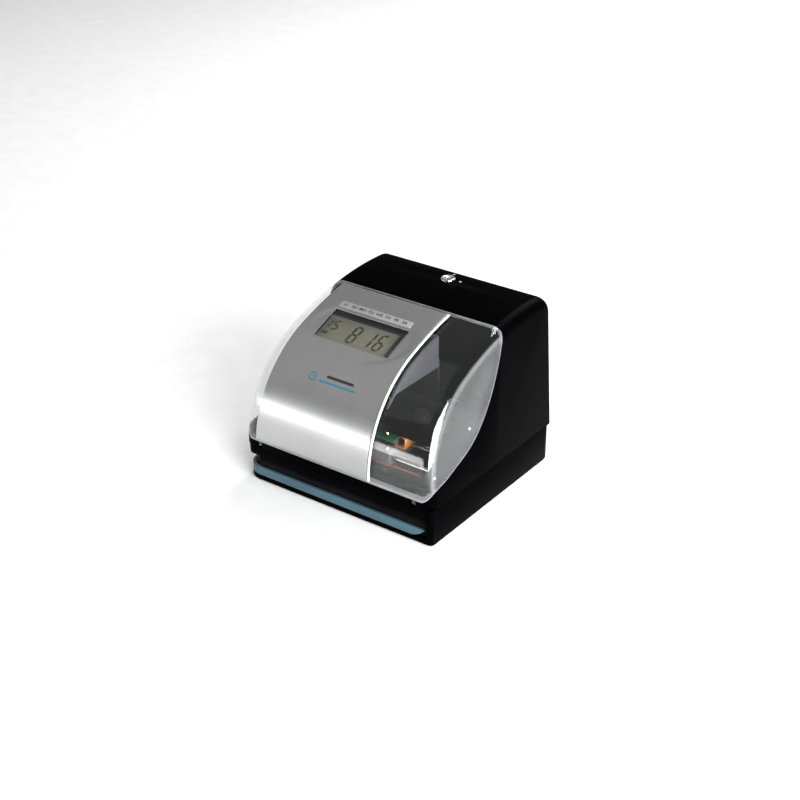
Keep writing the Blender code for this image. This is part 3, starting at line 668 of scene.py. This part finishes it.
def build_hood(m):
    """Clear hood with its two hinge lugs, and the grey rim around its cut edge, a painted
    highlight where the clear edge catches light.
    """
    rim = skin_shell("hood_rim", HOOD_WALL, m["hood_edge_highlight"])
    boolean(rim, prism("rim_region", hood_outline(), -BEYOND, BEYOND), "INTERSECT")
    boolean(rim, prism("rim_inside", hood_outline(-RIM_WIDTH), -BEYOND - 1, BEYOND + 1))
    settle(rim)
    resmooth(rim)
    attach(rim, "cover")
    hood = skin_shell("hood_shell", HOOD_WALL, m["hood"])
    boolean(hood, prism("cut_region", hood_outline(-RIM_WIDTH), -BEYOND, BEYOND), "INTERSECT")
    for left in (-LUG_X - LUG_WIDTH, LUG_X):
        lug = box("lug", (left, LUG_Y[0], LUG_Z[0]), (left + LUG_WIDTH, LUG_Y[1], LUG_Z[1]))
        boolean(hood, lug, "UNION")
    settle(hood)
    resmooth(hood)
    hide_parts("clear_hood")
    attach(hood, "cover")


def dish_depth(x, s):
    """How far the shallow oval dish around the display window sinks the panel."""
    reach = math.hypot((x - DISH_CENTRE[0]) / DISH_REACH[0], (s - DISH_CENTRE[1]) / DISH_REACH[1])
    slope = min(max((1.0 - reach) / DISH_SLOPE, 0.0), 1.0)
    return -DISH_DEPTH * slope * slope * (3 - 2 * slope)


def stepped(marks, counts):
    """Values from the first mark to the last, with an even count of steps between marks."""
    values = [marks[0]]
    for start, end, count in zip(marks, marks[1:], counts):
        values += [start + (end - start) * (k + 1) / count for k in range(count)]
    return values


def build_panel(m):
    """Silver face: a fine grid with the window left out, thickened and softened."""
    mesh_data = bmesh.new()
    left, right, low, high = WINDOW
    grid = []
    for s in stepped((PANEL_START, low, high, PANEL_END), PANEL_ROWS):
        _, outline_z, _ = skin_point(s)
        edge = drafted(-PANEL_LEFT, outline_z)
        line = []
        for x in stepped((edge, left, right, PANEL_RIGHT), PANEL_COLUMNS):
            y, z, _ = skin_point(s, -(PANEL_LIFT + dish_depth(x, s)))
            line.append(mesh_data.verts.new((x, y, z)))
        grid.append(line)
    window_rows = range(PANEL_ROWS[0], PANEL_ROWS[0] + PANEL_ROWS[1])
    window_columns = range(PANEL_COLUMNS[0], PANEL_COLUMNS[0] + PANEL_COLUMNS[1])
    for k, (lower, upper) in enumerate(zip(grid, grid[1:])):
        for j in range(sum(PANEL_COLUMNS)):
            if k in window_rows and j in window_columns:
                continue
            mesh_data.faces.new((lower[j], lower[j + 1], upper[j + 1], upper[j]))
    panel = as_object("face_panel", mesh_data, m["silver"])
    if panel.data.polygons[0].normal.y > 0:
        panel.data.flip_normals()
    solid = panel.modifiers.new("thickness", "SOLIDIFY")
    solid.thickness = PANEL_WALL * MM
    solid.offset = -1.0
    settle(panel)
    soften(panel, 0.2, 50)
    settle(panel)
    resmooth(panel)
    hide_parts("silver_panel")
    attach(panel, "cover")


def join_rings(mesh_data, rings):
    """Skin a row of rings and close both ends."""
    for lower, upper in zip(rings, rings[1:]):
        for k in range(len(lower)):
            j = (k + 1) % len(lower)
            mesh_data.faces.new((lower[k], lower[j], upper[j], upper[k]))
    mesh_data.faces.new(rings[0])
    mesh_data.faces.new(rings[-1])


def build_panel_edge(m):
    """Polished bead that follows the outline at the panel's edge, along the clear window; its
    near-white colour is a painted highlight on the silver edge.
    """
    mesh_data = bmesh.new()
    half = (BEAD_WIDTH / 2, BEAD_HEIGHT / 2)
    section = rounded((-half[0], -half[1]), half, BEAD_HEIGHT * 0.45, 3)
    rings = []
    for s in stepped((PANEL_START, PANEL_END), (90,)):
        y, z, heading = skin_point(s)
        turn = math.radians(heading)
        ring = []
        for a, b in section:
            rise = BEAD_LIFT + b
            ring.append(mesh_data.verts.new((PANEL_RIGHT + BEAD_OFFSET + a,
                                             y - rise * math.sin(turn),
                                             z + rise * math.cos(turn))))
        rings.append(ring)
    join_rings(mesh_data, rings)
    bead = as_object("panel_edge_bead", mesh_data, m["rim"])
    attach(bead, "cover")


def text_piece(name, words, size, matrix, material, body, spacing=1.0, heavy=0.0):
    """Lettering in the built-in font; heavy thickens its strokes."""
    curve = bpy.data.curves.new(name, "FONT")
    curve.body = words
    curve.size = size * MM
    curve.align_x = "CENTER"
    curve.align_y = "CENTER"
    curve.space_character = spacing
    curve.extrude = 0.03 * MM
    curve.offset = heavy * MM
    item = bpy.data.objects.new(name, curve)
    bpy.context.scene.collection.objects.link(item)
    item.matrix_world = matrix
    item.data.materials.append(material)
    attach(item, body)


def print_ring(name, outer, inner, depth, material, sides):
    """Thin printed ring, lying flat."""
    profile = [(outer, 0), (outer, depth), (inner, depth), (inner, 0)]
    return turned(name, profile, (0, 0, 0), material, sides, True)


def build_label(m):
    """Pale strip with the weekdays and a crossed ring before them."""
    left, right, low, high = LABEL
    middle = ((left + right) / 2, (low + high) / 2)
    half = ((right - left) / 2, (high - low) / 2)
    bottom, face = 0.4, 1.3
    plate = prism("label_plate", rounded((-half[0], -half[1]), half, 0.8, 4), bottom, face,
                  m["label"], "Z", 0.08)
    place(plate, on_skin(middle[1], middle[0]))
    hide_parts("weekday_label")
    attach(plate, "cover")
    first, pitch = 12.2, 7.35
    for index, day in enumerate(("SU", "MO", "TU", "WE", "TH", "FR", "SA")):
        x = left + first + pitch * index
        text_piece("weekday_" + day.lower(), day, 3.7, on_skin(middle[1], x, face + MARK_DEPTH),
                   m["ink"], "cover", 1.05, 0.07)
    ring_place = on_skin(middle[1], left + 4.6, face)
    ring = print_ring("label_ring", 1.15, 0.85, MARK_DEPTH, m["ink"], 24)
    place(ring, ring_place)
    bar = box("label_ring_bar", (-0.12, -1.7, 0), (0.12, 1.7, MARK_DEPTH), m["ink"])
    place(bar, ring_place @ Matrix.Rotation(-0.6, 4, "Z"))
    ride_all((ring, bar), "cover")


def build_face_mark(m):
    """A plain clock-dial mark and two printed bars below the window."""
    lift = PANEL_LIFT + 0.02
    pieces = [
        print_ring("dial_ring", 3.3, 2.6, PRINT_DEPTH, m["teal_ink"], 40),
        box("dial_hand_long", (-0.25, -0.2, 0), (0.25, 2.2, PRINT_DEPTH), m["teal_ink"]),
        box("dial_hand_short", (-0.2, -0.25, 0), (1.5, 0.25, PRINT_DEPTH), m["teal_ink"]),
    ]
    for piece in pieces:
        place(piece, on_skin(65.0, -31.0, lift))
    bars = [("print_bar_dark", (-20.0, 3.0), 67.6, 2.0, "ink"),
            ("print_bar_teal", (-25.0, 6.0), 63.4, 1.3, "teal_ink")]
    for name, (start, end), s, height, ink in bars:
        outline = rounded((0, -height / 2), (end - start, height / 2), height * 0.3, 3)
        bar = prism(name, outline, 0, PRINT_DEPTH, m[ink], "Z")
        pieces.append(place(bar, on_skin(s, start, lift)))
    ride_all(pieces, "cover")


def build_roof_marks(m):
    """Printed open and closed signs beside the lock."""
    ring = print_ring("lock_mark_ring", 0.95, 0.6, MARK_DEPTH, m["white_ink"], 24)
    place(ring, on_skin(195.0, 9.5))
    points = smooth_curve([(0.6, -1.8), (-0.2, -0.9), (-0.2, 0.6), (0.5, 1.8)], 6)
    half_stroke = 0.17
    outline = [(x - half_stroke, y) for x, y in points]
    outline += [(x + half_stroke, y) for x, y in reversed(points)]
    line = prism("lock_mark_line", outline, 0, MARK_DEPTH, m["white_ink"], "Z")
    place(line, on_skin(203.2, -1.8))
    ride_all((ring, line), "base")


# ---------------------------------------------------------------- display

SEGMENTS = {"1": "bc", "5": "acdfg", "6": "acdefg", "8": "abcdefg"}


def build_digit(name, value, width, height, stroke, corner, m):
    """Seven-segment digit lying on the display glass, leaning slightly to the right."""
    half = height / 2
    bars = {
        "a": ((0, height), (width, height)), "g": ((0, half), (width, half)),
        "d": ((0, 0), (width, 0)), "f": ((0, half), (0, height)), "e": ((0, 0), (0, half)),
        "b": ((width, half), (width, height)), "c": ((width, 0), (width, half)),
    }
    gap = stroke * 0.62 * 0.35
    for letter in SEGMENTS[value]:
        start, end = Vector(bars[letter][0]), Vector(bars[letter][1])
        along = (end - start).normalized()
        across = Vector((-along.y, along.x)) * stroke / 2
        tip = along * stroke / 2
        a, b = start + along * gap, end - along * gap
        outline = [a, a + tip + across, b - tip + across, b, b - tip - across, a + tip - across]
        outline = [(corner[0] + p.x + DIGIT_LEAN * p.y, corner[1] + p.y) for p in outline]
        bar = prism("{}_{}".format(name, letter), outline, 0, SEGMENT_DEPTH, m["segment"], "Z")
        place(bar, on_skin(DISPLAY_S, DISPLAY_X, SEGMENT_LEVEL))
        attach(bar, "base")


def build_display(m):
    """Display glass, dark strips of painted shadow along its top and right, and the digits on it.
    """
    wide, tall = GLASS_HALF
    glass = prism("lcd_glass", rounded((-wide, -tall), (wide, tall), 0.8, 4), GLASS_BACK,
                  GLASS_FACE, m["lcd"], "Z", 0.2)
    place(glass, on_skin(DISPLAY_S, DISPLAY_X))
    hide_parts("lcd_module")
    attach(glass, "base")
    # Painted shadow: dark strips along the glass's top and right stand in for the shade cast by
    # the window's edge
    painted_shadow_strips = (("lcd_painted_shadow_top", (-wide, SHADOW_STRIP_TOP), (wide, tall)),
             ("lcd_painted_shadow_right", (SHADOW_STRIP_RIGHT, -tall), (wide, SHADOW_STRIP_TOP)))
    for name, low, high in painted_shadow_strips:
        band = box(name, (*low, GLASS_FACE + 0.02), (*high, GLASS_FACE + 0.08), m["ink"])
        place(band, on_skin(DISPLAY_S, DISPLAY_X))
        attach(band, "base")
    small, large = 1.3, 1.55          # stroke widths
    build_digit("day_tens", "1", 3.0, 8.4, small, (-35.0, -0.2), m)
    build_digit("day_units", "5", 3.9, 8.4, small, (-29.0, -0.2), m)
    build_digit("hour", "8", 5.2, 15.6, large, (-11.4, -7.4), m)
    build_digit("minute_tens", "1", 3.2, 15.0, large, (3.6, -7.0), m)
    build_digit("minute_units", "6", 5.2, 15.0, large, (11.2, -7.0), m)
    half_day_place = (on_skin(DISPLAY_S, DISPLAY_X, SEGMENT_LEVEL + 0.02)
                      @ Matrix.Translation(Vector((-31.6, -5.0, 0)) * MM))
    text_piece("half_day", "AM", 3.6, half_day_place, m["segment"], "base", 1.0, 0.14)


# ---------------------------------------------------------------- CAD nodes that stay

# Nodes by material, each with the width of the small round on its edges
LOOKS = {
    "black": (("base_pan", 0.5), ("ribbon_cassette", 0.8)),
    "charcoal": (("paper_table", 0.4), ("throat_guide", 0.3), ("lcd_frame", 0.3),
                 ("ribbon_knob", 0.3), ("microswitch", 0.3), ("power_inlet", 0.3)),
    "blue": (("blue_trim_strip", 0.35),),
    "battery": (("battery_pack", 0.5),),
    "guard": (("ribbon_shield", 0.2),),
    "rubber": (("rubber_foot_1", 0.2), ("rubber_foot_2", 0.2), ("rubber_foot_3", 0.2),
               ("rubber_foot_4", 0.2), ("platen", 0.3), ("drive_belt", 0.2)),
    "steel": (("hood_catch", 0.2), ("latch_bar", 0.1), ("latch_guide", 0.2),
              ("motor_bracket", 0.15), ("idler_bracket", 0.15), ("lock_nut", 0.3),
              ("lock_cam", 0.2), ("trigger_pin", 0.1)),
    "black_steel": (("mech_plate_left", 0.25), ("mech_plate_right", 0.25)),
    "dark_steel": (("bracket_post", 0.2), ("cross_brace", 0.2), ("stop_bar", 0.2),
                   ("stepper_motor", 0.5), ("transformer", 0.5), ("base_screw_1", 0.2),
                   ("base_screw_2", 0.2), ("base_screw_3", 0.2), ("base_screw_4", 0.2),
                   ("hood_pin_left", 0.1), ("hood_pin_right", 0.1)),
    "chrome": (("guide_shaft_front", 0.3), ("guide_shaft_rear", 0.3), ("lock_barrel", 0.15),
               ("lock_plug", 0.12)),
    "brass": (("motor_pulley", 0.15), ("idler_pulley", 0.15)),
    "board": (("main_board", 0.1), ("display_board", 0.1), ("head_board", 0.1)),
    "grey": (("print_carriage", 0.3), ("set_button_1", 0.3), ("set_button_2", 0.3),
             ("set_button_3", 0.3)),
    "smoke": (("display_bracket", 0.2),),
    "ink": (("print_head", 0.15),),
    "white": (("trigger_lever", 0.15),),
    "amber": (("head_flex", 0.0),),
}


def dress(node, material, bevel):
    """Give a CAD node its material, joined faces, small rounds and smooth shading."""
    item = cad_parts[node]
    item.data.materials.clear()
    item.data.materials.append(material)
    weld = item.modifiers.new("weld", "WELD")
    weld.merge_threshold = 0.00001
    if bevel:
        soften(item, bevel)
    resmooth(item, CAD_SMOOTH)


def dress_nodes(m):
    for look, nodes in LOOKS.items():
        for node, bevel in nodes:
            dress(node, m[look], bevel)


# ---------------------------------------------------------------- inner detail

def chip(name, middle, size, pins, m):
    """Chip with its legs; size is (x, y, height), middle the point on the board below it."""
    x, y, z = middle
    left, front = x - size[0] / 2, y - size[1] / 2
    half_leg, leg_reach = 0.22, 0.7
    body = box(name, (left, front, z + 0.35), (x + size[0] / 2, y + size[1] / 2, z + size[2]),
               m["chip"], 0.15)
    dot = turned(name + "_dot", [(0, 0), (0.5, 0), (0.5, 0.05), (0, 0.05)],
                 (left + 1.3, front + 1.3, z + size[2]), m["white_ink"], 12)
    pieces = [body, dot]
    for side in (-1, 1):
        near, far = sorted((y + side * size[1] / 2, y + side * (size[1] / 2 + leg_reach)))
        for k in range(pins):
            leg_x = left + (k + 0.5) * size[0] / pins
            pieces.append(box("{}_leg_{}_{}".format(name, "ab"[side > 0], k + 1),
                              (leg_x - half_leg, near, z + 0.02),
                              (leg_x + half_leg, far, z + 0.9), m["tin"], 0.08, 1))
    return pieces


def can(name, place_at, radius, height, m):
    """Upright capacitor with a bright top."""
    sleeve = turned(name, [(0, 0.05), (radius, 0.05), (radius, height - 0.8),
                           (radius - 0.35, height - 0.4), (radius, height - 0.1),
                           (radius - 0.3, height), (0, height)], place_at, m["chip"], 24)
    top = turned(name + "_top", [(0, 0), (radius * 0.75, 0), (radius * 0.75, 0.12), (0, 0.12)],
                 (place_at[0], place_at[1], place_at[2] + height), m["tin"], 24)
    return [sleeve, top]


def build_boards(m):
    """Chips, capacitors, header and crystal on the main board, and the pins of the power inlet."""
    _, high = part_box("main_board")
    top = high.z / MM
    pieces = chip("main_chip", (0.0, 38.0, top), (14.0, 14.0, 2.4), 9, m)
    pieces += chip("memory_chip", (4.0, 60.0, top), (10.0, 5.4, 1.9), 7, m)
    pieces += chip("driver_chip", (44.0, 16.0, top), (12.0, 6.0, 2.2), 6, m)
    cans = ((-12, 16, 4.0, 10.5), (-2, 16, 4.0, 10.5), (14, 18, 2.6, 7.0), (22, 60, 2.6, 6.5))
    for index, (x, y, radius, height) in enumerate(cans):
        pieces += can("capacitor_{}".format(index + 1), (x, y, top), radius, height, m)
    header = box("board_header", (-50.0, 11.0, top + 0.05), (-24.0, 16.0, top + 6.5), m["white"],
                 0.3)
    crystal = box("crystal", (15.0, 48.0, top + 0.05), (22.0, 52.0, top + 3.2), m["tin"], 1.2)
    ride_all(pieces + [header, crystal], "base")
    inlet_low, inlet_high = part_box("power_inlet")
    middle = (inlet_low + inlet_high) / 2 / MM
    pin_profile = [(0, 0), (1.15, 0), (1.15, 4.6), (0.7, 5.2), (0, 5.2)]
    half_spacing, pin_y = 3.4, 69.6
    pins = []
    for name, offset in (("inlet_pin_a", -half_spacing), ("inlet_pin_b", half_spacing)):
        pin = turned(name, pin_profile, (0, 0, 0), m["brass"], 20)
        pins.append(place(pin, aimed((middle.x + offset, pin_y, middle.z), "X", -90)))
    ride_all(pins, "base")


def aimed(point, axis, degrees):
    """Matrix that turns a piece about an axis and moves it to a point."""
    return (Matrix.Translation(Vector(point) * MM)
            @ Matrix.Rotation(math.radians(degrees), 4, axis))


def build_mechanism(m):
    """Head pins on the carriage, the red line on the guard, and the right plate's screws."""
    carriage = []
    pin_profile = [(0, 0), (1.5, 0), (1.9, 0.5), (1.9, 9.0), (1.4, 9.6), (0, 9.6)]
    for index, z in enumerate((51.5, 63.5)):
        pin = turned("head_pin_{}".format(index + 1), pin_profile, (0, 0, 0), m["chrome"], 24)
        carriage.append(place(pin, aimed((31.0, -51.0, z), "X", 90)))
    mount = box("head_pin_mount", (28.4, -51.0, 50.2), (33.6, -49.2, 57.6), m["grey"], 0.3)
    carriage.append(mount)
    ride_all(carriage, "carriage")
    low, high = (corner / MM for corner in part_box("ribbon_shield"))
    line = box("guard_line", (low.x + 1, low.y - 0.35, 47.6), (high.x - 1, low.y - 0.05, 49.2),
               m["red"], 0.1)
    ride_all([line], "base")
    head_profile = [(0, 0.05), (2.6, 0.05), (2.6, 0.8), (1.9, 1.5), (0, 1.6)]
    screws = []
    for index, (y, z) in enumerate(((-58.0, 40.0), (-16.0, 60.0), (-30.0, 22.0))):
        head = turned("plate_screw_{}".format(index + 1), head_profile, (0, 0, 0), m["steel"], 24)
        screws.append(place(head, aimed((70.0, y, z), "Y", 90)))
    ride_all(screws, "base")


# ---------------------------------------------------------------- stage

FLOOR_SIZE = 4000.0
WORLD_STRENGTH = 0.3

# Name, place, height of the point it aims at, width, height, power
LIGHTS = (
    ("key_light", (0.12, 1.3, 1.3), 0.06, 1.0, 1.0, 34.0),
    ("front_light", (-0.75, -1.25, 0.1), 0.06, 1.6, 0.17, 5.4),       # band across the panel
    ("top_light", (-0.85, -0.5, 1.3), 0.06, 1.5, 1.5, 1.2),
    ("crease_light", (1.2, -0.5, 0.43), 0.07, 1.1, 1.0, 62.0),        # line down the hood's corner
)


def aim(towards):
    """Rotation that points an object's -Z axis along a direction, with its +Y axis up."""
    return towards.to_track_quat("-Z", "Y").to_euler()


def build_stage(m):
    """Plain pale floor under an even white world."""
    mesh_data = bmesh.new()
    bmesh.ops.create_grid(mesh_data, x_segments=2, y_segments=2, size=FLOOR_SIZE)
    floor = as_object("floor", mesh_data, m["floor"])
    world = bpy.data.worlds.new("studio")
    bpy.context.scene.world = world
    world.use_nodes = True
    background = world.node_tree.nodes["Background"]
    background.inputs["Color"].default_value = (1.0, 1.0, 1.0, 1.0)
    background.inputs["Strength"].default_value = WORLD_STRENGTH
    bpy.context.scene.view_settings.view_transform = "Standard"


def build_lights():
    for name, where, aim_z, width, height, power in LIGHTS:
        light = bpy.data.lights.new(name, "AREA")
        light.energy = power
        light.shape = "RECTANGLE"
        light.size = width
        light.size_y = height
        item = bpy.data.objects.new(name, light)
        bpy.context.scene.collection.objects.link(item)
        item.location = where
        item.rotation_euler = aim(Vector((0, 0, aim_z)) - Vector(where))


def build_camera():
    azimuth, elevation = math.radians(CAMERA_AZIMUTH), math.radians(CAMERA_ELEVATION)
    towards = Vector((math.sin(azimuth) * math.cos(elevation),
                      -math.cos(azimuth) * math.cos(elevation), math.sin(elevation)))
    data = bpy.data.cameras.new("camera")
    data.lens = LENS
    data.sensor_width = SENSOR_WIDTH
    camera = bpy.data.objects.new("camera", data)
    bpy.context.scene.collection.objects.link(camera)
    camera.location = Vector(CAMERA_TARGET) + towards * CAMERA_DISTANCE
    camera.rotation_euler = aim(-towards)
    bpy.context.scene.camera = camera


def main():
    materials = make_materials()
    build_camera()
    build_stage(materials)
    build_lights()
    dress_nodes(materials)
    build_housing(materials)
    build_hood(materials)
    build_panel(materials)
    build_panel_edge(materials)
    build_label(materials)
    build_face_mark(materials)
    build_roof_marks(materials)
    build_display(materials)
    build_boards(materials)
    build_mechanism(materials)


main()
